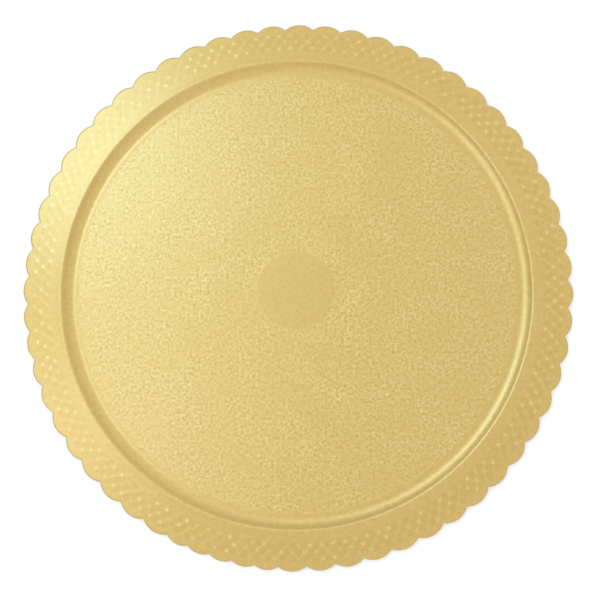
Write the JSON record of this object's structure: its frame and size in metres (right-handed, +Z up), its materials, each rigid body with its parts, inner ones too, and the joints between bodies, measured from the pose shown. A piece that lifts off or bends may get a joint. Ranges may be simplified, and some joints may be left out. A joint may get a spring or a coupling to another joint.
{
  "type": "cake board",
  "caption": "Round pressed-paperboard cake board: flat grained middle, raised ring, and a wide embossed gold rim with a scalloped edge.",
  "frame": {"origin": "middle of the underside, where the board rests on a table", "axes": "+Z up through the board, out of the face that the cake stands on; -Y towards the near side of the picture, +X to its right"},
  "size_m": [0.3, 0.3, 0.0048],
  "materials": {
    "gold_film": "metallised film, satin gloss",
    "white_paper": "uncoated paper",
    "greyboard": "cut greyboard"
  },
  "bodies": {
    "root": {"back_paper": "white_paper", "bottom_core_ply": "greyboard", "middle_core_ply": "greyboard", "top_core_ply": "greyboard", "face_paper": "white_paper", "gold_film": "gold_film"}
  },
  "joints": []
}
